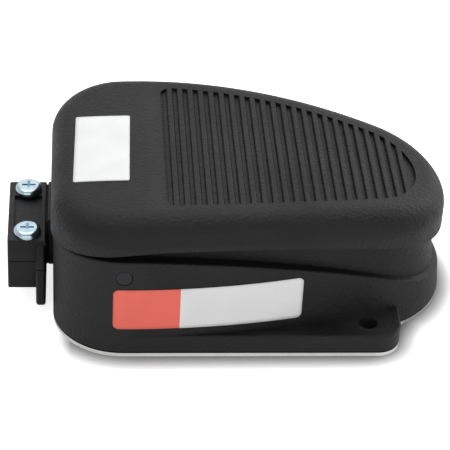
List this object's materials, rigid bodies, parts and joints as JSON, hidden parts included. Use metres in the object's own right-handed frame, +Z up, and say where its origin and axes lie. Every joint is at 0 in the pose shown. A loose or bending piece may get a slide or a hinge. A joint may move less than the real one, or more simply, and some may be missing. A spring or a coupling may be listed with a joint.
{
  "type": "foot switch",
  "caption": "Industrial foot switch: ribbed hinged treadle over a moulded base holding a snap-action switch, with floor-bolt ears and a screwed cord clamp.",
  "frame": {"origin": "on the underside of the floor plate, midway across, straight under the hinge axis", "axes": "+X from the cord end to the nose of the treadle, +Y along the hinge axis, +Z up from the floor"},
  "size_m": [0.1658, 0.1028, 0.0606],
  "materials": {
    "treadle_plastic": "fine textured satin",
    "housing_plastic": "fine textured satin",
    "clamp_plastic": "moulded satin",
    "locknut_plastic": "moulded satin",
    "gasket_rubber": "matt",
    "bumper_rubber": "matt",
    "plate_steel": "zinc plate",
    "pin_steel": "ground, darkened",
    "spring_steel": "bright",
    "bracket_steel": "zinc plate",
    "zinc_steel": "zinc plate",
    "ground_steel": "coloured plate",
    "terminal_brass": "plain",
    "switch_plastic": "moulded thermoset",
    "cover_plastic": "moulded thermoset",
    "plunger_plastic": "moulded",
    "bush_plastic": "moulded"
  },
  "bodies": {
    "base": {"base_housing": "housing_plastic", "base_gasket": "gasket_rubber", "base_plate": "plate_steel", "plate_screws": "zinc_steel", "hinge_pin": "pin_steel", "pin_clips": "spring_steel", "return_spring": "spring_steel", "spring_washer": "zinc_steel", "stop_bumpers": "bumper_rubber", "switch_case": "switch_plastic", "switch_cover": "cover_plastic", "terminal_common": "terminal_brass", "terminal_open": "terminal_brass", "terminal_closed": "terminal_brass", "terminal_screws": "zinc_steel", "lever_pin": "pin_steel", "switch_bracket": "bracket_steel", "bracket_screws": "zinc_steel", "switch_screws": "zinc_steel", "switch_nuts": "zinc_steel", "ground_washer": "zinc_steel", "ground_screw": "ground_steel", "clamp_body": "clamp_plastic", "clamp_saddle": "clamp_plastic", "clamp_screws": "zinc_steel", "clamp_nuts": "zinc_steel", "clamp_locknut": "locknut_plastic", "clamp_seal": "gasket_rubber"},
    "treadle": {"treadle": "treadle_plastic", "hinge_bushes": "bush_plastic", "actuator_screw": "zinc_steel", "actuator_locknut": "zinc_steel", "spring_retainer": "bush_plastic"},
    "lever": {"switch_lever": "spring_steel"},
    "plunger": {"switch_plunger": "plunger_plastic"}
  },
  "joints": [
    {"name": "treadle_hinge", "type": "hinge", "parent": "base", "child": "treadle", "pos_m": [0, 0, 0.0358], "axis": [0, 1, 0], "range_deg": [0, 4.5], "stiffness_Nm_per_rad": 10, "springref_deg": -6.88, "deforming": ["return_spring"]},
    {"name": "lever_hinge", "type": "hinge", "parent": "base", "child": "lever", "pos_m": [0.024, 0, 0.0387], "axis": [0, 1, 0], "range_deg": [0, 7.6]},
    {"name": "plunger_slide", "type": "slide", "parent": "base", "child": "plunger", "axis": [0, 0, -1], "range_m": [0, 0.00105]}
  ],
  "couplings": [
    {"joint": "lever_hinge", "follows": "treadle_hinge", "ratio": 1.68},
    {"joint": "plunger_slide", "follows": "treadle_hinge", "m_per_rad": 0.0133}
  ]
}
